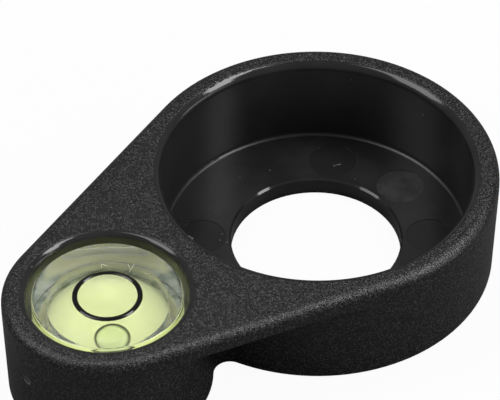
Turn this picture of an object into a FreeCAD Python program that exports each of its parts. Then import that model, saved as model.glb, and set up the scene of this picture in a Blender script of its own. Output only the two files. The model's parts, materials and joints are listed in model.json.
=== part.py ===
import FreeCAD, Part
import math
import os

# Bubble level: a moulded holder with a teardrop plate over two merged cups, and a round vial in the
# small cup. Millimetres. The origin is on the axis of the through hole, on the bottom plane.
# +Z is up, and +X runs from the through hole to the vial.

# Holder, overall. The walls are those at the plate, where they are thickest.
height = 14.5
plate_thickness = 2.1
big_wall = 3.36
small_wall = 3.0
cup_overlap = 2.09
big_draft = 1.6
small_draft = 1.0
plate_edge_round = 1.25
bottom_edge_chamfer = 0.35
neck_round = 2.0
web_neck_difference = 0.3

# Big recess and the hole through its floor
recess_radius = 19.44
recess_rim_round = 1.1
recess_corner_round = 0.5
floor_thickness = 2.4
hole_radius = 10.8
hole_edge_chamfer = 0.25

# Marks that the ejector pins leave in the recess floor
mark_hole_gap = 0.64
mark_corner_gap = 1.38
mark_depth = 0.06
mark_angles = (-140.0, -41.0, 41.0, 140.0, 180.0)

# Vial
vial_radius = 9.19
vial_height = 9.0
vial_below_plate = 0.75
vial_edge_chamfer = 0.25
vial_wall = 1.84
chamber_height = 3.8
ceiling_thickness = 2.6
dome_rise = 0.18
base_flange_thickness = 1.0

# Target ring, paint in a groove in the top of the vial
ring_inner_radius = 3.61
ring_width = 0.65
ring_depth = 0.15
ring_crown = 0.05

# Bubble, a flattened hollow in the liquid that touches the ceiling
bubble_radius = 2.24
bubble_thickness = 2.2
bubble_neck = 0.05
bubble_wall_gap = 0.05
bubble_direction = 57.0

# Pocket for the vial, the glue under it, and the hollow below the pocket
pocket_clearance = 0.6
pocket_draft = 0.5
pocket_rim_round = 0.75
glue_thickness = 0.25
glue_inset = 0.6
pocket_floor_thickness = 2.2
core_wall = 2.2

# Room that a cutting shape reaches past the face that it cuts, and the slack for finding an edge's level
overrun = 1.0
level_slack = 0.0001

# Radii and levels, worked out from the sizes
pocket_radius = vial_radius + pocket_clearance
big_radius = recess_radius + big_wall
small_radius = pocket_radius + small_wall
axis_spacing = big_radius + small_radius - cup_overlap
web_round = neck_round - web_neck_difference
mark_room = recess_radius - recess_corner_round - mark_corner_gap - hole_radius - mark_hole_gap
mark_radius = mark_room / 2
mark_pitch_radius = hole_radius + mark_hole_gap + mark_radius
chamber_radius = vial_radius - vial_wall
plate_bottom = height - plate_thickness
vial_top = height - vial_below_plate
vial_bottom = vial_top - vial_height
flange_top = vial_bottom + base_flange_thickness
pocket_floor = vial_bottom - glue_thickness
core_depth = pocket_floor - pocket_floor_thickness
chamber_ceiling = vial_top - ceiling_thickness
chamber_floor = chamber_ceiling - chamber_height
groove_floor = vial_top - ring_depth


def vector(radius, level):
    """A point of a profile in the XZ plane."""
    return FreeCAD.Vector(radius, 0, level)


def profile(*parts):
    """Edges of a closed profile in the XZ plane. Two points make a line, three an arc."""
    edges = []
    for points in parts:
        ends = [vector(*p) for p in points]
        shape = Part.LineSegment(*ends) if len(ends) == 2 else Part.Arc(*ends)
        edges.append(shape.toShape())
    return edges


def revolve(edges, centre_x=0.0):
    """The solid that a closed profile sweeps round the vertical axis through centre_x."""
    face = Part.Face(Part.Wire(Part.__sortEdges__(edges)))
    solid = face.revolve(FreeCAD.Vector(0, 0, 0), FreeCAD.Vector(0, 0, 1), 360)
    solid.translate(FreeCAD.Vector(centre_x, 0, 0))
    return solid


def rise(draft, length):
    """How much a drafted wall gains in radius over a length."""
    return length * math.tan(math.radians(draft))


def outline_lean():
    """Angle from +X to where the plate's straight sides touch its two circles."""
    return math.acos((big_radius - small_radius) / axis_spacing)


def tangent_points(side):
    """Where one straight side of the plate touches the big and the small circle."""
    lean = outline_lean()
    unit = FreeCAD.Vector(math.cos(lean), side * math.sin(lean), 0)
    return unit * big_radius, unit * small_radius + FreeCAD.Vector(axis_spacing, 0, 0)


def teardrop_plate():
    """The top plate: two circles joined by their outer tangents, with its upper edge rounded."""
    big_left, small_left = tangent_points(1)
    big_right, small_right = tangent_points(-1)
    back = FreeCAD.Vector(-big_radius, 0, 0)
    front = FreeCAD.Vector(axis_spacing + small_radius, 0, 0)
    edges = [
        Part.Arc(big_left, back, big_right).toShape(),
        Part.LineSegment(big_right, small_right).toShape(),
        Part.Arc(small_right, front, small_left).toShape(),
        Part.LineSegment(small_left, big_left).toShape(),
    ]
    outline = Part.Face(Part.Wire(edges))
    outline.translate(FreeCAD.Vector(0, 0, plate_bottom))
    plate = outline.extrude(FreeCAD.Vector(0, 0, plate_thickness))
    upper = [edge for edge in plate.Edges if edge.BoundBox.ZMin > height - level_slack]
    return plate.makeFillet(plate_edge_round, upper)


def neck_arc(big, small, neck, side):
    """Arc that rounds the neck on one side, where circles of these radii meet, from the big one on."""
    big_reach = big + neck
    small_reach = small + neck
    centre_x = (big_reach ** 2 - small_reach ** 2 + axis_spacing ** 2) / (2 * axis_spacing)
    centre = FreeCAD.Vector(centre_x, side * math.sqrt(big_reach ** 2 - centre_x ** 2), 0)
    small_axis = FreeCAD.Vector(axis_spacing, 0, 0)
    on_big = centre * (big / big_reach)
    on_small = small_axis + (centre - small_axis) * (small / small_reach)
    inward = (on_big - centre) + (on_small - centre)
    middle = centre + inward * (neck / inward.Length)
    return on_big, middle, on_small


def cups_outline(level, inset=0.0):
    """Outline of the drafted cups at a level: two circles with rounds at the neck."""
    big = big_radius - rise(big_draft, plate_bottom - level) - inset
    small = small_radius - rise(small_draft, plate_bottom - level) - inset
    neck = neck_round + inset
    big_left, left, small_left = neck_arc(big, small, neck, 1)
    big_right, right, small_right = neck_arc(big, small, neck, -1)
    wire = Part.Wire([
        Part.Arc(big_left, FreeCAD.Vector(-big, 0, 0), big_right).toShape(),
        Part.Arc(big_right, right, small_right).toShape(),
        Part.Arc(small_right, FreeCAD.Vector(axis_spacing + small, 0, 0), small_left).toShape(),
        Part.Arc(small_left, left, big_left).toShape(),
    ])
    wire.translate(FreeCAD.Vector(0, 0, level))
    return wire


def joined_cups():
    """Both cup bodies under the plate as one drafted solid, with its bottom edge bevelled."""
    foot = cups_outline(0, bottom_edge_chamfer)
    bevel_top = cups_outline(bottom_edge_chamfer)
    top = cups_outline(plate_bottom)
    return Part.makeLoft([foot, bevel_top, top], True, True)


def web_block():
    """Material under the plate, deep enough for the rounds between its underside and the cups."""
    corners = [*tangent_points(1), *reversed(tangent_points(-1))]
    wire = Part.makePolygon([*corners, corners[0]])
    face = Part.Face(wire)
    depth = 2 * web_round
    face.translate(FreeCAD.Vector(0, 0, plate_bottom - depth))
    return face.extrude(FreeCAD.Vector(0, 0, depth))


def under_web(cups):
    """The space under the plate beside the cups, with rounds where the plate meets the cups."""
    big_end, small_end = tangent_points(1)
    start = big_end.x - web_round
    length = small_end.x + web_round - start
    reach = big_radius + overrun
    room = Part.makeBox(length, 2 * reach, plate_bottom + overrun)
    room.translate(FreeCAD.Vector(start, -reach, -overrun))
    space = room.cut(cups)
    rim = []
    for edge in space.Edges:
        at_top = abs(edge.BoundBox.ZMin - plate_bottom) < level_slack and edge.BoundBox.ZLength < level_slack
        if at_top and edge.Curve.TypeId != "Part::GeomLine":
            rim.append(edge)
    return space.makeFillet(web_round, rim)


def recess_cut():
    """The big recess: rounded rim, straight wall and rounded floor corner."""
    top_edge = recess_radius + recess_rim_round
    wall_top = height - recess_rim_round
    floor = floor_thickness
    wall_foot = floor + recess_corner_round
    floor_edge = recess_radius - recess_corner_round
    bend = math.sqrt(0.5)
    return revolve(profile(
        ((0, floor), (floor_edge, floor)),
        ((floor_edge, floor),
         (floor_edge + recess_corner_round * bend, wall_foot - recess_corner_round * bend),
         (recess_radius, wall_foot)),
        ((recess_radius, wall_foot), (recess_radius, wall_top)),
        ((recess_radius, wall_top),
         (top_edge - recess_rim_round * bend, wall_top + recess_rim_round * bend),
         (top_edge, height)),
        ((top_edge, height), (top_edge, height + overrun)),
        ((top_edge, height + overrun), (0, height + overrun)),
        ((0, height + overrun), (0, floor)),
    ))


def hole_cut():
    """The hole through the recess floor, with its upper edge bevelled."""
    mouth = hole_radius + hole_edge_chamfer
    wall_top = floor_thickness - hole_edge_chamfer
    return revolve(profile(
        ((0, -overrun), (hole_radius, -overrun)),
        ((hole_radius, -overrun), (hole_radius, wall_top)),
        ((hole_radius, wall_top), (mouth, floor_thickness)),
        ((mouth, floor_thickness), (mouth, floor_thickness + overrun)),
        ((mouth, floor_thickness + overrun), (0, floor_thickness + overrun)),
        ((0, floor_thickness + overrun), (0, -overrun)),
    ))


def mark_cut(angle):
    """One shallow round mark of an ejector pin in the recess floor."""
    turn = math.radians(angle)
    centre = FreeCAD.Vector(mark_pitch_radius * math.cos(turn), mark_pitch_radius * math.sin(turn),
                            floor_thickness - mark_depth)
    return Part.makeCylinder(mark_radius, overrun, centre)


def pocket_cut():
    """The drafted pocket that takes the vial, with a rounded rim."""
    top_edge = pocket_radius + pocket_rim_round
    wall_top = height - pocket_rim_round
    foot_radius = pocket_radius - rise(pocket_draft, wall_top - pocket_floor)
    bend = math.sqrt(0.5)
    return revolve(profile(
        ((0, pocket_floor), (foot_radius, pocket_floor)),
        ((foot_radius, pocket_floor), (pocket_radius, wall_top)),
        ((pocket_radius, wall_top),
         (top_edge - pocket_rim_round * bend, wall_top + pocket_rim_round * bend),
         (top_edge, height)),
        ((top_edge, height), (top_edge, height + overrun)),
        ((top_edge, height + overrun), (0, height + overrun)),
        ((0, height + overrun), (0, pocket_floor)),
    ), axis_spacing)


def core_cut():
    """The hollow under the pocket floor, which keeps the moulding's walls even."""
    core_radius = small_radius - rise(small_draft, plate_bottom) - core_wall
    return Part.makeCylinder(core_radius, core_depth + overrun,
                             FreeCAD.Vector(axis_spacing, 0, -overrun))


def build_holder():
    """The moulded holder: plate and cups in one, hollowed from above and below."""
    cups = joined_cups()
    body = cups.fuse([teardrop_plate(), web_block()]).cut(under_web(cups))
    for space in (recess_cut(), pocket_cut(), core_cut(), hole_cut()):
        body = body.cut(space)
    body = body.cut([mark_cut(angle) for angle in mark_angles])
    return body.removeSplitter()


def dome(radius):
    """How far the chamber's ceiling rises above its edge, at a radius."""
    sphere = (chamber_radius ** 2 + dome_rise ** 2) / (2 * dome_rise)
    return math.sqrt(sphere ** 2 - radius ** 2) - (sphere - dome_rise)


def ceiling_arc(inner, outer):
    """Profile of the domed ceiling between two radii."""
    middle = (inner + outer) / 2
    return ((inner, chamber_ceiling + dome(inner)), (middle, chamber_ceiling + dome(middle)),
            (outer, chamber_ceiling + dome(outer)))


def build_vial_cap():
    """The clear cap: an inverted cup with a ring groove in its top."""
    ring_outer_radius = ring_inner_radius + ring_width
    shoulder = vial_radius - vial_edge_chamfer
    wall_top = vial_top - vial_edge_chamfer
    return revolve(profile(
        ((0, vial_top), (ring_inner_radius, vial_top)),
        ((ring_inner_radius, vial_top), (ring_inner_radius, groove_floor)),
        ((ring_inner_radius, groove_floor), (ring_outer_radius, groove_floor)),
        ((ring_outer_radius, groove_floor), (ring_outer_radius, vial_top)),
        ((ring_outer_radius, vial_top), (shoulder, vial_top)),
        ((shoulder, vial_top), (vial_radius, wall_top)),
        ((vial_radius, wall_top), (vial_radius, flange_top)),
        ((vial_radius, flange_top), (chamber_radius, flange_top)),
        ((chamber_radius, flange_top), (chamber_radius, chamber_ceiling)),
        ceiling_arc(0, chamber_radius),
        ((0, chamber_ceiling + dome_rise), (0, vial_top)),
    ), axis_spacing)


def build_vial_base():
    """The white base: a plug up to the chamber's floor, on a flange under the cap's wall."""
    plug = Part.makeCylinder(chamber_radius, chamber_floor - flange_top,
                             FreeCAD.Vector(axis_spacing, 0, flange_top))
    flange = Part.makeCylinder(vial_radius, base_flange_thickness,
                               FreeCAD.Vector(axis_spacing, 0, vial_bottom))
    return flange.fuse(plug).removeSplitter()


def bubble():
    """The bubble: a round hollow that opens onto the ceiling through a short neck."""
    half = bubble_thickness / 2
    flat = bubble_radius - half
    centre_radius = chamber_radius - bubble_radius - bubble_wall_gap
    turn = math.radians(bubble_direction)
    top = chamber_ceiling + dome(centre_radius + flat) - bubble_neck
    low = top - bubble_thickness
    neck_top = chamber_ceiling + dome_rise + overrun
    shape = revolve(profile(
        ((0, low), (flat, low)),
        ((flat, low), (bubble_radius, top - half), (flat, top)),
        ((flat, top), (flat, neck_top)),
        ((flat, neck_top), (0, neck_top)),
        ((0, neck_top), (0, low)),
    ))
    shape.translate(FreeCAD.Vector(axis_spacing + centre_radius * math.cos(turn),
                                   centre_radius * math.sin(turn), 0))
    return shape


def build_vial_liquid():
    """The liquid: it fills the chamber apart from the bubble."""
    chamber = revolve(profile(
        ((0, chamber_floor), (chamber_radius, chamber_floor)),
        ((chamber_radius, chamber_floor), (chamber_radius, chamber_ceiling)),
        ceiling_arc(0, chamber_radius),
        ((0, chamber_ceiling + dome_rise), (0, chamber_floor)),
    ), axis_spacing)
    return chamber.cut(bubble())


def build_target_ring():
    """Black paint in the ring groove, slightly crowned."""
    outer = ring_inner_radius + ring_width
    middle = ring_inner_radius + ring_width / 2
    return revolve(profile(
        ((ring_inner_radius, groove_floor), (outer, groove_floor)),
        ((outer, groove_floor), (outer, vial_top)),
        ((outer, vial_top), (middle, vial_top + ring_crown), (ring_inner_radius, vial_top)),
        ((ring_inner_radius, vial_top), (ring_inner_radius, groove_floor)),
    ), axis_spacing)


def build_glue_bed():
    """The adhesive between the vial and the pocket floor."""
    return Part.makeCylinder(vial_radius - glue_inset, glue_thickness,
                             FreeCAD.Vector(axis_spacing, 0, pocket_floor))


def build_parts():
    """Every piece, by the name of its node."""
    return {
        "holder": build_holder(),
        "vial_cap": build_vial_cap(),
        "vial_base": build_vial_base(),
        "vial_liquid": build_vial_liquid(),
        "target_ring": build_target_ring(),
        "glue_bed": build_glue_bed(),
    }


def main():
    os.makedirs("parts", exist_ok=True)
    for name, shape in build_parts().items():
        box = shape.BoundBox
        print(f"{name}: valid {shape.isValid()}, {len(shape.Solids)} solid, {len(shape.Faces)} faces, "
              f"{shape.Volume:.1f} mm3, X {box.XMin:.2f} to {box.XMax:.2f}, "
              f"Y {box.YMin:.2f} to {box.YMax:.2f}, Z {box.ZMin:.2f} to {box.ZMax:.2f}")
        shape.exportStep(os.path.join("parts", name + ".step"))


if __name__ == "__main__":
    main()
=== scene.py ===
import json
import math

import bmesh
import bpy
from mathutils import Matrix, Vector


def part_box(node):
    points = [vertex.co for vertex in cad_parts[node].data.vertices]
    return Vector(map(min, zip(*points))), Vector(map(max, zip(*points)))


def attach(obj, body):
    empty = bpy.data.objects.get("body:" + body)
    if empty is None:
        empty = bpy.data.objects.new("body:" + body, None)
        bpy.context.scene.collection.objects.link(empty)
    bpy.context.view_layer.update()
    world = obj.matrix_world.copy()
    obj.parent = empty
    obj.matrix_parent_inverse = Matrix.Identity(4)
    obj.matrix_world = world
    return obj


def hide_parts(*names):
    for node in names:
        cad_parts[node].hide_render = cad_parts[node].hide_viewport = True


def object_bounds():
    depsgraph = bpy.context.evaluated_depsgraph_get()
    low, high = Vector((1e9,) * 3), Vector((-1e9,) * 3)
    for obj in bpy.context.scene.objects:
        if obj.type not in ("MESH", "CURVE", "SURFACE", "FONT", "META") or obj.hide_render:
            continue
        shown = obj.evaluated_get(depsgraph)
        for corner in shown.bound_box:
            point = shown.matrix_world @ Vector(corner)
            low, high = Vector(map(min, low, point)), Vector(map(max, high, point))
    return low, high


# Looks of the bubble level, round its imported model. Metres, in the model's own frame.
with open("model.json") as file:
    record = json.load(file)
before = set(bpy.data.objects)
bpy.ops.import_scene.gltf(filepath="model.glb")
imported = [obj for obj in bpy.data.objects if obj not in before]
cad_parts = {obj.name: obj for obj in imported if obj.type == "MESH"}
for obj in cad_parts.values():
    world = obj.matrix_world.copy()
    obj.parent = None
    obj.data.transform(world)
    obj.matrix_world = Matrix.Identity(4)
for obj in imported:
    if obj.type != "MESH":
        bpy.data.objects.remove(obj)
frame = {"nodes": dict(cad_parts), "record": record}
cad_low, cad_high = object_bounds()

MM = 0.001

# Places and sizes that come from the model
cap_low, cap_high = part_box("vial_cap")
liquid_low, liquid_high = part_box("vial_liquid")
ring_low, ring_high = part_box("target_ring")
plate_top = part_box("holder")[1].z
base_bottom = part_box("vial_base")[0].z
vial_x = (cap_low.x + cap_high.x) / 2
vial_radius = (cap_high.x - cap_low.x) / 2
vial_top = cap_high.z
flange_top = cap_low.z
chamber_radius = (liquid_high.x - liquid_low.x) / 2
chamber_floor = liquid_low.z
chamber_top = liquid_high.z
ring_outer = (ring_high.x - ring_low.x) / 2
groove_floor = ring_low.z
paint_top = ring_high.z
mounts = {mount["name"]: mount for mount in frame["record"]["mounts"]}
recess_radius = mounts["recess"]["dims"]["r_mm"] * MM
hole_radius = mounts["through_hole"]["dims"]["r_mm"] * MM
recess_floor = mounts["recess_floor"]["pos_m"][2]

# Sizes of the model that its boxes don't give
recess_rim_round = 1.1 * MM
pocket_edge_radius = 10.54 * MM
ring_width = 0.65 * MM
dome_rise = 0.18 * MM
cap_edge_round = 0.3 * MM
mark_radius = 3.06 * MM
mark_pitch_radius = 14.5 * MM
dark_mark_angles = (-140.0, -41.0, 41.0, 140.0)
pale_mark_angles = (180.0,)
bubble_radius = 2.24 * MM
bubble_thickness = 2.2 * MM
bubble_offset = 5.06 * MM
bubble_direction = 57.0

# Small offsets: the base bites into the cap, the liquid, bubble and paint stay clear of it, and the
# paint's edges sink below the cap's top
wetted_overlap = 0.02 * MM
liquid_gap = 0.01 * MM
bubble_gap = 0.02 * MM
paint_gap = 0.01 * MM
paint_dip = 0.11 * MM

# Fineness of the round meshes
segments = 192
corner_steps = 6
ceiling_steps = 16
bubble_steps = 28
bead_steps = 12
on_axis = 1e-9
sharp_angle = 35.0
bubble_sharp_angle = 60.0

# Small faults of this one: a pit in the small cup's wall, a burr on the recess rim, dust in the recess
# and on the plate, and threads of lint on the vial and the recess floor. Each grain is turned by
# fleck_turn, in radians, from the one before.
pit_place = (46.21 * MM, 0.19 * MM, 7.98 * MM)
pit_wobble = 1.2 * MM
pit_limits = (0.8 * MM, 1.2 * MM)
pit_ring_inner_limits = (0.7 * MM, 0.95 * MM)
pit_ring_outer_limits = (1.05 * MM, 1.4 * MM)
burr_radius = 0.14 * MM
dust_radius = 0.07 * MM
fleck_sizes = (0.8, 1.0, 1.2)
fleck_shape = (1.0, 0.6, 0.45, 1.0)
fleck_turn = 1.9
lint_radius = 0.02 * MM
lint_sides = 6

# Where the burr, the dust grains and the ends of the lint threads lie, in millimetres
burr_places = [(19.84, -0.69, 14.32), (19.9, -0.95, 14.36), (19.82, -0.45, 14.3)]
dust_places = [
    (-15.83, -11.22, 12.38),
    (-19.36, -1.29, 10.97),
    (-3.76, -13.27, 2.42),
    (-10.96, -4.77, 2.42),
    (9.60, -7.53, 2.42),
    (9.16, -6.67, 2.42),
    (0.05, -14.80, 2.42),
    (8.70, -8.20, 2.42),
    (37.71, -9.25, 14.42),
    (27.95, 8.00, 13.95),
]
lint_ends = [
    ((30.70, -4.72, 13.77), (31.03, -4.18, 13.77)),
    ((30.64, -4.67, 13.77), (30.36, -3.97, 13.77)),
    ((27.64, -2.07, 13.77), (29.00, -1.42, 13.77)),
    ((28.22, -2.57, 13.77), (28.58, -1.75, 13.77)),
    ((27.62, -0.32, 13.77), (27.62, 0.13, 13.77)),
    ((27.62, 0.13, 13.77), (27.26, 0.45, 13.77)),
    ((-10.45, -8.48, 2.43), (-11.49, -8.09, 2.43)),
]

# Where the holder's finish changes: how wide and how uneven the change is, and the limits of its bands
edge_band = 0.05 * MM
edge_wobble = 0.25 * MM
glossy_share_of_rim = 0.8
gloss_bottom_limits = (0.3 * recess_floor, 0.4 * recess_floor)
rim_limits = (plate_top - 0.6 * MM, plate_top - 0.25 * MM)
hole_edge_limits = (hole_radius + 0.35 * MM, hole_radius + 0.45 * MM)

# Scales of the noise, in cycles per metre, and how much of the grain is the fine one
edge_scale = 900.0
fine_grain_scale = 6200.0
coarse_grain_scale = 2700.0
speck_scale = 7000.0
cloud_scale = 160.0
mark_smear_scale = 420.0
ripple_scale = 330.0
pit_scale = 2400.0
disc_scale = 420.0
flange_smear_scale = 800.0
base_scale = 1500.0
paint_scale = 700.0
adhesive_scale = 600.0
fine_grain_share = 0.6

# Values of the noise at which each pattern starts and is full
speck_limits = (0.6, 0.82)
cloud_limits = (0.3, 0.7)
mark_smear_limits = (0.25, 0.7)
disc_limits = (0.3, 0.75)
flange_smear_limits = (0.36, 0.62)

# Radii at which the base's flange starts, and at which the painted yellow-green light on its inner
# collar ends
flange_limits = (chamber_radius + 0.05 * MM, chamber_radius + 0.2 * MM)
collar_painted_light_limits = (chamber_radius + 0.7 * MM, chamber_radius + 1.3 * MM)

# Colours
white = (1, 1, 1, 1)
grain_dark = (0.009, 0.009, 0.0091, 1)
# The pale speck colour of the grain is partly real flecks and partly painted sparkle of the grain's tiny
# facets
grain_speck_and_sparkle = (0.078, 0.078, 0.0787, 1)
gloss_dark = (0.019, 0.019, 0.0193, 1)
gloss_dusty = (0.03, 0.03, 0.0304, 1)
pale_mark_grey = (0.058, 0.058, 0.0585, 1)
pit_ring_grey = (0.21, 0.21, 0.21, 1)
torn_grey = (0.26, 0.26, 0.26, 1)
lint_grey = (0.75, 0.75, 0.71, 1)
disc_dull = (0.92, 0.94, 0.87, 1)
disc_bright = (0.96, 0.97, 0.9, 1)
flange_dark = (0.26, 0.31, 0.26, 1)
flange_pale = (0.6, 0.65, 0.56, 1)
# The collar colour is painted light: the yellow-green glow that the liquid and the clear cap carry onto
# the flange
collar_painted_light = (0.95, 0.98, 0.55, 1)
paint_black = (0.002, 0.002, 0.002, 1)
paint_worn = (0.006, 0.006, 0.0055, 1)
adhesive_dark = (0.55, 0.54, 0.47, 1)
adhesive_pale = (0.7, 0.69, 0.62, 1)
acrylic_tint = (0.95, 0.985, 0.94, 1)
bubble_tint = (0.93, 0.98, 0.92, 1)
liquid_tint = (0.93, 0.99, 0.45, 1)
liquid_density = 130.0

# Roughness
grain_roughness = (0.15, 0.25)
recess_floor_roughness = 0.17
wall_roughness = 0.29
rim_roughness = 0.08
cloud_roughness = 0.04
paint_roughness = 0.06
adhesive_roughness = 0.35
base_roughness = 0.4
bubble_roughness = 0.3
speck_roughness = 0.6

# Depths of the relief, and how much of it shows
grain_depth = 0.13 * MM
ripple_depth = 0.012 * MM
pit_depth = 0.6 * MM
base_depth = 0.01 * MM
base_relief = 0.5
paint_depth = 0.01 * MM
paint_relief = 0.6
adhesive_depth = 0.05 * MM
adhesive_relief = 0.6

# Optics
acrylic_ior = 1.49
liquid_ior = 1.36
bubble_ior = 1.34
black_ior = 1.6
base_ior = 1.45
scatter_depth = 2.5 * MM
scatter_colour = (1, 1, 0.8)

# The camera, fitted to the photograph
photo_width = 500
camera_azimuth = 139.6383
camera_elevation = 43.3081
camera_roll = -0.3558
camera_distance = 406.25 * MM
camera_target = Vector((10.197 * MM, -0.893 * MM, plate_top))
focal_pixels = 3295.79
sensor_width = 36.0
clip_near = 0.01
clip_far = 10.0

# The light, and the floor
lamp_distance = 0.8
lamp_centre = Vector((10 * MM, 0, plate_top))
surround_level = 0.17
paper_grey = (0.18, 0.18, 0.18, 1)
paper_seen = (0.95, 0.95, 0.95, 1)
floor_glow = 0.95
floor_half = 1.5
floor_drop = 0.02 * MM


def add_object(name, data):
    """A new object in the scene."""
    item = bpy.data.objects.new(name, data)
    bpy.context.scene.collection.objects.link(item)
    return item


def placed(right, up, back, place):
    """The matrix of an object with these three axes at a place."""
    return Matrix((
        (right.x, up.x, back.x, place.x),
        (right.y, up.y, back.y, place.y),
        (right.z, up.z, back.z, place.z),
        (0, 0, 0, 1),
    ))


def make_camera():
    """The camera at the photograph's viewing angle."""
    azimuth = math.radians(camera_azimuth)
    elevation = math.radians(camera_elevation)
    roll = math.radians(camera_roll)
    back = Vector((math.sin(azimuth) * math.cos(elevation), -math.cos(azimuth) * math.cos(elevation),
                   math.sin(elevation)))
    right = (-back).cross(Vector((0, 0, 1))).normalized()
    up = right.cross(-back).normalized()
    camera_right = math.cos(roll) * right + math.sin(roll) * up
    camera_up = -math.sin(roll) * right + math.cos(roll) * up
    data = bpy.data.cameras.new("camera")
    data.sensor_width = sensor_width
    data.lens = focal_pixels / photo_width * sensor_width
    data.clip_start = clip_near
    data.clip_end = clip_far
    camera = add_object("camera", data)
    camera.matrix_world = placed(camera_right, camera_up, back, camera_target + back * camera_distance)
    bpy.context.scene.camera = camera


class Nodes:
    """Short calls that add nodes to one material, or to the world."""

    def __init__(self, owner):
        self.owner = owner
        owner.use_nodes = True
        self.tree = owner.node_tree
        self.tree.nodes.clear()

    def add(self, kind, settings=None, inputs=None):
        """A new node of this kind."""
        node = self.tree.nodes.new(kind)
        for name, value in (settings or {}).items():
            setattr(node, name, value)
        for name, value in (inputs or {}).items():
            self.put(node, name, value)
        return node

    def put(self, node, name, value):
        """Sets an input, or links it where the value is another node's output."""
        if isinstance(value, bpy.types.NodeSocket):
            self.tree.links.new(value, node.inputs[name])
        else:
            node.inputs[name].default_value = value

    def math(self, operation, first, second=0.0):
        """The result of one operation on one or two numbers."""
        node = self.add("ShaderNodeMath", {"operation": operation})
        self.put(node, 0, first)
        self.put(node, 1, second)
        return node.outputs[0]

    def mix(self, factor, first, second):
        """A number between two numbers."""
        node = self.add("ShaderNodeMix", {"data_type": "FLOAT"})
        self.put(node, 0, factor)
        self.put(node, 2, first)
        self.put(node, 3, second)
        return node.outputs[0]

    def mix_colour(self, factor, first, second):
        """A colour between two colours."""
        node = self.add("ShaderNodeMix", {"data_type": "RGBA"})
        self.put(node, 0, factor)
        self.put(node, 6, first)
        self.put(node, 7, second)
        return node.outputs[2]

    def blend(self, factor, first, second):
        """A surface between two shaders."""
        node = self.add("ShaderNodeMixShader")
        self.put(node, 0, factor)
        self.put(node, 1, first.outputs[0])
        self.put(node, 2, second.outputs[0])
        return node.outputs[0]

    def step(self, value, low, high):
        """0 below low, 1 above high, smooth between."""
        node = self.add("ShaderNodeMapRange", {"interpolation_type": "SMOOTHSTEP", "clamp": True})
        self.put(node, "Value", value)
        self.put(node, "From Min", low)
        self.put(node, "From Max", high)
        return node.outputs[0]

    def fall(self, value, low, high):
        """1 below low, 0 above high, smooth between."""
        return self.math("SUBTRACT", 1.0, self.step(value, low, high))

    def position(self):
        """The place on the object, in metres."""
        return self.add("ShaderNodeTexCoord").outputs["Object"]

    def height(self):
        """The level above the object's foot."""
        split = self.add("ShaderNodeSeparateXYZ")
        self.put(split, 0, self.position())
        return split.outputs[2]

    def radius_from(self, centre_x, centre_y):
        """Distance from a vertical axis."""
        split = self.add("ShaderNodeSeparateXYZ")
        self.put(split, 0, self.position())
        across = self.math("SUBTRACT", split.outputs[0], centre_x)
        along = self.math("SUBTRACT", split.outputs[1], centre_y)
        square = self.math("ADD", self.math("MULTIPLY", across, across),
                           self.math("MULTIPLY", along, along))
        return self.math("SQRT", square)

    def distance_to(self, place):
        """Distance from a place."""
        node = self.add("ShaderNodeVectorMath", {"operation": "DISTANCE"})
        self.put(node, 0, self.position())
        self.put(node, 1, place)
        return node.outputs["Value"]

    def noise(self, scale, detail=2.0, roughness=0.5):
        """Smooth noise."""
        node = self.add("ShaderNodeTexNoise", inputs={
            "Scale": scale, "Detail": detail, "Roughness": roughness})
        self.put(node, "Vector", self.position())
        return node.outputs["Fac"]

    def cells(self, scale):
        """Small cells, each of a shade of its own."""
        node = self.add("ShaderNodeTexVoronoi", inputs={"Scale": scale})
        self.put(node, "Vector", self.position())
        return node.outputs["Color"]

    def bump(self, height, distance, strength=1.0, normal=None):
        """Relief on the surface, on top of the relief that a normal already has."""
        node = self.add("ShaderNodeBump", inputs={"Strength": strength, "Distance": distance})
        self.put(node, "Height", height)
        if normal is not None:
            self.put(node, "Normal", normal)
        return node.outputs[0]

    def principled(self, inputs):
        """The general surface shader."""
        return self.add("ShaderNodeBsdfPrincipled", inputs=inputs)

    def lets_light_through(self, shader):
        """The shader, without the shadow that a clear material would cast on what lies in it."""
        path = self.add("ShaderNodeLightPath")
        open_way = self.add("ShaderNodeBsdfTransparent")
        return self.blend(path.outputs["Is Shadow Ray"], shader, open_way)

    def finish(self, surface, volume=None):
        """The finished material."""
        output = self.add("ShaderNodeOutputMaterial")
        self.put(output, "Surface", surface)
        if volume is not None:
            self.put(output, "Volume", volume)
        return self.owner


def new_material(name):
    """The nodes of a new material."""
    return Nodes(bpy.data.materials.new(name))


def marks_mask(n, angles):
    """1 inside the ejector marks at these angles round the recess floor, 0 outside."""
    mask = None
    for angle in angles:
        turn = math.radians(angle)
        distance = n.radius_from(mark_pitch_radius * math.cos(turn), mark_pitch_radius * math.sin(turn))
        inside = n.fall(distance, mark_radius - edge_band, mark_radius + edge_band)
        mask = inside if mask is None else n.math("MAXIMUM", mask, inside)
    return mask


def gloss_mask(n, from_hole, from_vial):
    """1 on the polished faces, which are those of the recess, the hole and the pocket, 0 elsewhere."""
    rim = recess_radius + glossy_share_of_rim * recess_rim_round
    in_recess = n.fall(from_hole, rim - edge_band, rim + edge_band)
    above = n.step(n.height(), *gloss_bottom_limits)
    in_hole = n.fall(from_hole, hole_radius, hole_radius + edge_band)
    in_pocket = n.fall(from_vial, pocket_edge_radius - edge_band, pocket_edge_radius + edge_band)
    upper = n.math("MULTIPLY", in_recess, above)
    return n.math("MAXIMUM", upper, n.math("MAXIMUM", in_hole, in_pocket))


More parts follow.
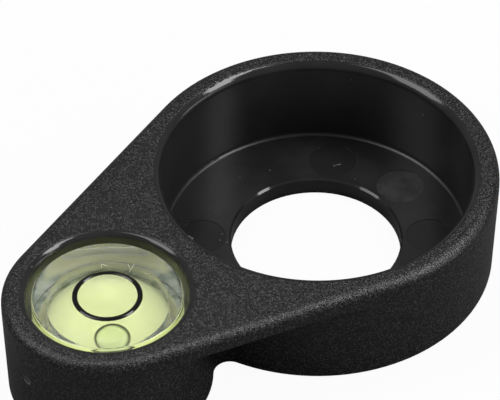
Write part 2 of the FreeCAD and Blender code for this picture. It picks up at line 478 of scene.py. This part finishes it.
def gloss_colour(n, cloud):
    """Polished black with a cloudy film of dust; the ejector mark at 180 degrees is paler in smeared
    patches, and the other four are plain dark.
    """
    below = n.fall(n.height(), recess_floor, recess_floor + edge_band)
    dark_marks = n.math("MULTIPLY", below, marks_mask(n, dark_mark_angles))
    pale_marks = n.math("MULTIPLY", below, marks_mask(n, pale_mark_angles))
    dusty = n.mix_colour(n.step(cloud, *cloud_limits), gloss_dark, gloss_dusty)
    smear = n.step(n.noise(mark_smear_scale, detail=3.0, roughness=0.6), *mark_smear_limits)
    colour = n.mix_colour(n.math("MULTIPLY", pale_marks, smear), dusty, pale_mark_grey)
    return n.mix_colour(dark_marks, colour, gloss_dark)


def gloss_roughness(n, from_hole, cloud):
    """Smoothest on the recess rim and the hole's edge, and rougher on the wall than on the floor."""
    upright = n.step(n.height(), recess_floor, recess_floor + edge_band)
    near_rim = n.step(n.height(), *rim_limits)
    near_hole = n.fall(from_hole, *hole_edge_limits)
    faces = n.mix(upright, recess_floor_roughness, wall_roughness)
    rough = n.mix(n.math("MAXIMUM", near_rim, near_hole), faces, rim_roughness)
    return n.math("ADD", rough, n.mix(cloud, 0.0, cloud_roughness))


def holder_material():
    """Black plastic, grained outside and polished inside the recess, hole and pocket."""
    n = new_material("holder_plastic")
    wobble = n.math("MULTIPLY", n.math("SUBTRACT", n.noise(edge_scale), 0.5), edge_wobble)
    from_hole = n.math("ADD", n.radius_from(0.0, 0.0), wobble)
    from_vial = n.math("ADD", n.radius_from(vial_x, 0.0), wobble)
    gloss = gloss_mask(n, from_hole, from_vial)

    fine = n.math("MULTIPLY", n.noise(fine_grain_scale, detail=1.0), fine_grain_share)
    coarse = n.math("MULTIPLY", n.noise(coarse_grain_scale, detail=1.0), 1 - fine_grain_share)
    grain = n.math("ADD", fine, coarse)
    cloud = n.noise(cloud_scale, detail=3.0, roughness=0.55)
    # Pale specks, part real flecks and part painted sparkle of the grain's facets catching the lamps
    speck = n.step(n.cells(speck_scale), *speck_limits)
    grain_colour = n.mix_colour(speck, grain_dark, grain_speck_and_sparkle)
    colour = n.mix_colour(gloss, grain_colour, gloss_colour(n, cloud))
    rough = n.mix(gloss, n.mix(grain, *grain_roughness), gloss_roughness(n, from_hole, cloud))

    grain_height = n.math("MULTIPLY", grain, n.math("SUBTRACT", 1.0, gloss))
    normal = n.bump(grain_height, grain_depth)
    ripple = n.math("MULTIPLY", n.noise(ripple_scale), gloss)
    normal = n.bump(ripple, ripple_depth, normal=normal)
    ragged = n.math("ADD", n.distance_to(pit_place), n.math("MULTIPLY", n.noise(pit_scale), pit_wobble))
    normal = n.bump(n.fall(ragged, *pit_limits), -pit_depth, normal=normal)
    # A pale grey ring round the pit
    outward = n.step(ragged, *pit_ring_inner_limits)
    pit_ring = n.math("MULTIPLY", outward, n.fall(ragged, *pit_ring_outer_limits))
    shader = n.principled({
        "Base Color": n.mix_colour(pit_ring, colour, pit_ring_grey),
        "Roughness": rough,
        "Normal": normal,
        "IOR": black_ior,
    })
    return n.finish(shader.outputs[0])


def glass_material(name, ior, tint, roughness=0.0):
    """A clear material for one kind of boundary between two substances."""
    n = new_material(name)
    shader = n.principled({
        "Base Color": tint,
        "Roughness": roughness,
        "IOR": ior,
        "Transmission Weight": 1.0,
    })
    return n.finish(n.lets_light_through(shader))


def liquid_material():
    """The body of the liquid: no bending at its skin, and a yellow-green absorption inside."""
    n = new_material("level_liquid")
    shader = n.principled({
        "Base Color": white,
        "Roughness": 0.0,
        "IOR": 1.0,
        "Transmission Weight": 1.0,
    })
    absorb = n.add("ShaderNodeVolumeAbsorption", inputs={
        "Color": liquid_tint, "Density": liquid_density})
    return n.finish(n.lets_light_through(shader), absorb.outputs[0])


def white_material():
    """White plastic of the vial's base, a little translucent, with a flange that adhesive has greyed and
    painted yellow-green light on the flange's inner collar.
    """
    n = new_material("white_plastic")
    blotch = n.step(n.noise(disc_scale, detail=3.0), *disc_limits)
    disc = n.mix_colour(blotch, disc_dull, disc_bright)
    smear = n.step(n.noise(flange_smear_scale, detail=3.0, roughness=0.6), *flange_smear_limits)
    flange = n.mix_colour(smear, flange_dark, flange_pale)
    from_axis = n.radius_from(vial_x, 0.0)
    # Painted light: the flange's inner collar is painted yellow-green, for the light that the liquid and
    # the clear cap carry onto it
    flange = n.mix_colour(n.step(from_axis, *collar_painted_light_limits), collar_painted_light, flange)
    outside = n.step(from_axis, *flange_limits)
    shader = n.principled({
        "Base Color": n.mix_colour(outside, disc, flange),
        "Roughness": base_roughness,
        "IOR": base_ior,
        "Subsurface Weight": 1.0,
        "Subsurface Scale": scatter_depth,
        "Subsurface Radius": scatter_colour,
        "Normal": n.bump(n.noise(base_scale), base_depth, base_relief),
    })
    return n.finish(shader.outputs[0])


def paint_material():
    """Glossy black paint in the target ring's groove."""
    n = new_material("ring_paint")
    drift = n.noise(paint_scale)
    shader = n.principled({
        "Base Color": n.mix_colour(drift, paint_black, paint_worn),
        "Roughness": paint_roughness,
        "IOR": black_ior,
        "Normal": n.bump(drift, paint_depth, paint_relief),
    })
    return n.finish(shader.outputs[0])


def adhesive_material():
    """Cured adhesive, uneven in tone and height."""
    n = new_material("adhesive")
    cloud = n.noise(adhesive_scale, detail=3.0)
    shader = n.principled({
        "Base Color": n.mix_colour(cloud, adhesive_dark, adhesive_pale),
        "Roughness": adhesive_roughness,
        "Normal": n.bump(cloud, adhesive_depth, adhesive_relief),
    })
    return n.finish(shader.outputs[0])


def speck_material(name, colour):
    """A dull surface for grains and threads that are too small to show any detail."""
    n = new_material(name)
    shader = n.principled({"Base Color": colour, "Roughness": speck_roughness})
    return n.finish(shader.outputs[0])


def arc_points(centre, radius, start, end, steps):
    """Profile points along an arc, from one angle to the other, in degrees."""
    points = []
    for index in range(steps + 1):
        angle = math.radians(start + (end - start) * index / steps)
        points.append((centre[0] + radius * math.cos(angle), centre[1] + radius * math.sin(angle)))
    return points


def ring_round(work, centre, radius, level):
    """The vertices that one profile point sweeps: a ring, or one alone where it lies on the axis."""
    if radius < on_axis:
        return [work.verts.new((centre[0], centre[1], level))]
    ring = []
    for index in range(segments):
        angle = 2 * math.pi * index / segments
        ring.append(work.verts.new((centre[0] + radius * math.cos(angle),
                                    centre[1] + radius * math.sin(angle), level)))
    return ring


def face_corners(low, high, index):
    """The corners of one face between two rings, either of which may be a single vertex."""
    after = (index + 1) % segments
    if len(low) == 1:
        return low[0], high[after], high[index]
    if len(high) == 1:
        return low[index], low[after], high[0]
    return low[index], low[after], high[after], high[index]


def revolve(name, profile, centre, materials, slots=None, sharp_from=sharp_angle):
    """A mesh swept round a vertical axis by a profile of (radius, level) points, listed so that
    the outside lies to the right of its direction. slots gives the material of each stretch."""
    work = bmesh.new()
    rings = [ring_round(work, centre, radius, level) for radius, level in profile]
    pairs = list(zip(rings, rings[1:]))
    if len(rings[0]) > 1 and len(rings[-1]) > 1:
        pairs.append((rings[-1], rings[0]))
    for stretch, (low, high) in enumerate(pairs):
        if len(low) == 1 and len(high) == 1:
            continue
        for index in range(segments):
            face = work.faces.new(face_corners(low, high, index))
            face.smooth = True
            face.material_index = slots[stretch] if slots else 0
    work.normal_update()
    piece = add_piece(name, work, materials)
    piece.data.set_sharp_from_angle(angle=math.radians(sharp_from))
    return piece


def add_piece(name, work, materials):
    """An object from a bmesh, with its materials."""
    mesh = bpy.data.meshes.new(name)
    work.to_mesh(mesh)
    work.free()
    for material in materials:
        mesh.materials.append(material)
    return add_object(name, mesh)


def join(pieces):
    """Joins pieces into the first of them."""
    work = bmesh.new()
    for piece in pieces:
        work.from_mesh(piece.data)
    work.to_mesh(pieces[0].data)
    work.free()
    for piece in pieces[1:]:
        bpy.data.objects.remove(piece)


def ceiling_level(radius):
    """Level of the domed ceiling of the chamber at a radius from the vial's axis."""
    edge_level = chamber_top - dome_rise
    sphere = (chamber_radius ** 2 + dome_rise ** 2) / (2 * dome_rise)
    return edge_level + math.sqrt(sphere ** 2 - radius ** 2) - (sphere - dome_rise)


def ceiling_points(outer):
    """Profile points along the ceiling, from the axis out to a radius."""
    points = []
    for index in range(ceiling_steps + 1):
        radius = outer * index / ceiling_steps
        points.append((radius, ceiling_level(radius)))
    return points


def make_vial_cap(material_outside, material_chamber):
    """The clear cap, with its own material where it meets the liquid."""
    shoulder = vial_radius - cap_edge_round
    ring_inner = ring_outer - ring_width
    outside = [(vial_radius, flange_top)]
    outside += arc_points((shoulder, vial_top - cap_edge_round), cap_edge_round, 0, 90, corner_steps)
    outside += [(ring_outer, vial_top), (ring_outer, groove_floor), (ring_inner, groove_floor),
                (ring_inner, vial_top), (0.0, vial_top)]
    chamber = ceiling_points(chamber_radius) + [(chamber_radius, flange_top)]
    slots = [0] * len(outside) + [1] * (len(chamber) - 1) + [0]
    materials = [material_outside, material_chamber]
    return revolve("vial_cap_clear", outside + chamber, (vial_x, 0), materials, slots)


def make_vial_base(material):
    """The white base, a hair larger than its seat so that the cap is wetted onto it."""
    rim = vial_radius - wetted_overlap
    plug = chamber_radius + wetted_overlap
    shelf = flange_top + wetted_overlap
    profile = [(0.0, base_bottom), (rim, base_bottom), (rim, shelf), (plug, shelf),
               (plug, chamber_floor), (0.0, chamber_floor)]
    return revolve("vial_base_white", profile, (vial_x, 0), [material])


def bubble_profile():
    """Upper and lower outline of the bubble, from its top's centre round to its foot."""
    half = bubble_thickness / 2
    flat = bubble_radius - half
    top = ceiling_level(bubble_offset + flat) - bubble_gap
    points = [(0.0, top)]
    points += arc_points((flat, top - half), half, 90, -90, bubble_steps)
    points += [(0.0, top - bubble_thickness)]
    return points


def make_liquid(material_body, material_bubble):
    """The liquid, just inside the chamber, with the bubble as a hollow in it."""
    materials = [material_body, material_bubble]
    outer = chamber_radius - liquid_gap
    bottom = chamber_floor + liquid_gap
    ceiling = [(radius, level - liquid_gap) for radius, level in ceiling_points(outer)]
    profile = [(0.0, bottom), (outer, bottom)] + ceiling[::-1]
    liquid = revolve("vial_liquid_body", profile, (vial_x, 0), materials)
    turn = math.radians(bubble_direction)
    centre = (vial_x + bubble_offset * math.cos(turn), bubble_offset * math.sin(turn))
    outline = bubble_profile()
    slots = [1] * (len(outline) - 1)
    hollow = revolve("bubble_hollow", outline, centre, materials, slots, bubble_sharp_angle)
    join([liquid, hollow])
    return liquid


def make_ring(material):
    """The paint of the target ring: a soft bead in its groove."""
    middle = ring_outer - ring_width / 2
    half = ring_width / 2 - paint_gap
    foot = groove_floor + paint_gap
    shoulder = vial_top - paint_dip
    profile = [(middle - half, foot), (middle + half, foot)]
    for index in range(bead_steps + 1):
        across = 1 - 2 * index / bead_steps
        profile.append((middle + half * across, shoulder + (paint_top - shoulder) * (1 - across ** 2)))
    return revolve("target_ring_paint", profile, (vial_x, 0), [material])


def make_flecks(name, places, radius, material):
    """Small flat grains at places given in millimetres."""
    work = bmesh.new()
    flat = Matrix.Diagonal(fleck_shape)
    for index, place in enumerate(places):
        turn = Matrix.Rotation(index * fleck_turn, 4, "Z")
        matrix = Matrix.Translation(Vector(place) * MM) @ turn @ flat
        size = radius * fleck_sizes[index % len(fleck_sizes)]
        bmesh.ops.create_icosphere(work, subdivisions=1, radius=size, matrix=matrix)
    return add_piece(name, work, [material])


def make_lint(material):
    """Fine straight threads."""
    work = bmesh.new()
    for start, end in lint_ends:
        first = Vector(start) * MM
        along = Vector(end) * MM - first
        turn = along.to_track_quat("Z", "Y").to_matrix().to_4x4()
        matrix = Matrix.Translation(first + along / 2) @ turn
        bmesh.ops.create_cone(work, cap_ends=True, segments=lint_sides, radius1=lint_radius,
                              radius2=lint_radius, depth=along.length, matrix=matrix)
    return add_piece("lint_threads", work, [material])


def sky(across, away):
    """The direction of a place in the sky, from degrees to the camera's right of straight up and
    degrees away from the camera."""
    turn = math.radians(camera_azimuth) + math.atan2(across, -away)
    tilt = math.radians(math.hypot(across, away))
    return Vector((math.sin(turn) * math.sin(tilt), -math.cos(turn) * math.sin(tilt), math.cos(tilt)))


def soft_box(name, near_end, far_end, width, radiance):
    """A rectangular lamp that fills a strip of the sky from one place to another, in degrees."""
    first = sky(*near_end)
    last = sky(*far_end)
    middle = (first + last).normalized()
    long_side = (last - first).normalized()
    side = middle.cross(long_side).normalized()
    length = 2 * lamp_distance * math.tan(first.angle(last) / 2)
    depth = 2 * lamp_distance * math.tan(math.radians(width) / 2)
    data = bpy.data.lights.new(name, "AREA")
    data.shape = "RECTANGLE"
    data.size = length
    data.size_y = depth
    data.energy = radiance * math.pi * length * depth
    lamp = add_object(name, data)
    lamp.matrix_world = placed(long_side, side, middle, lamp_centre + middle * lamp_distance)


def make_lamps():
    """Plain studio light: two soft boxes overhead and a low one at the right."""
    soft_box("left_box", near_end=(-12, 19), far_end=(-54, -16), width=24, radiance=2.75)
    soft_box("right_box", near_end=(12, 20), far_end=(54, -20), width=14, radiance=6.1)
    soft_box("side_box", near_end=(74, 12), far_end=(72, -34), width=11, radiance=2.3)


def make_surround():
    """A dim white world that the camera sees as full white."""
    world = bpy.data.worlds.new("surround")
    bpy.context.scene.world = world
    n = Nodes(world)
    path = n.add("ShaderNodeLightPath")
    dim = n.add("ShaderNodeBackground", inputs={"Color": white, "Strength": surround_level})
    full = n.add("ShaderNodeBackground", inputs={"Color": white, "Strength": 1.0})
    blend = n.blend(path.outputs["Is Camera Ray"], dim, full)
    n.add("ShaderNodeOutputWorld", inputs={"Surface": blend})


def floor_material():
    """Grey paper that is white to the camera apart from a faint shadow."""
    n = new_material("floor_paper")
    seen = n.add("ShaderNodeLightPath").outputs["Is Camera Ray"]
    paper = n.add("ShaderNodeBsdfDiffuse", inputs={"Color": n.mix_colour(seen, paper_grey, paper_seen)})
    glow = n.add("ShaderNodeEmission", inputs={"Color": white, "Strength": 1.0})
    return n.finish(n.blend(n.math("MULTIPLY", seen, floor_glow), paper, glow))


def make_floor():
    """The floor, just under the object's foot."""
    mesh = bpy.data.meshes.new("floor")
    corners = [(x * floor_half, y * floor_half, 0) for x, y in ((-1, -1), (1, -1), (1, 1), (-1, 1))]
    mesh.from_pydata(corners, [], [(0, 1, 2, 3)])
    mesh.materials.append(floor_material())
    floor = add_object("floor", mesh)
    floor.location.z = cad_low.z - floor_drop


def dress_model():
    """Materials on the model's own pieces that stay in view."""
    for node, material in (("holder", holder_material()), ("glue_bed", adhesive_material())):
        materials = frame["nodes"][node].data.materials
        materials.clear()
        materials.append(material)


def add_vial():
    """The finer pieces that stand for the vial's own, so that light bends once at each boundary."""
    clear = glass_material("clear_acrylic", acrylic_ior, acrylic_tint)
    wetted = glass_material("acrylic_to_liquid", acrylic_ior / liquid_ior, white)
    bubble_skin = glass_material("bubble_skin", bubble_ior, bubble_tint, bubble_roughness)
    stand_ins = (
        (make_vial_cap(clear, wetted), "vial_cap", "clear_acrylic"),
        (make_vial_base(white_material()), "vial_base", "white_plastic"),
        (make_liquid(liquid_material(), bubble_skin), "vial_liquid", "level_liquid"),
        (make_ring(paint_material()), "target_ring", "ring_paint"),
    )
    for piece, node, slot in stand_ins:
        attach(piece, "root")
        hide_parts(node)


def add_faults():
    """The dust, the lint and the burr."""
    lint = speck_material("lint", lint_grey)
    torn = speck_material("torn_plastic", torn_grey)
    faults = (
        make_flecks("dust_grains", dust_places, dust_radius, lint),
        make_lint(lint),
        make_flecks("rim_burr", burr_places, burr_radius, torn),
    )
    for piece in faults:
        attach(piece, "root")


make_camera()
dress_model()
add_vial()
add_faults()
make_lamps()
make_surround()
make_floor()
bpy.context.scene.view_settings.view_transform = "Standard"
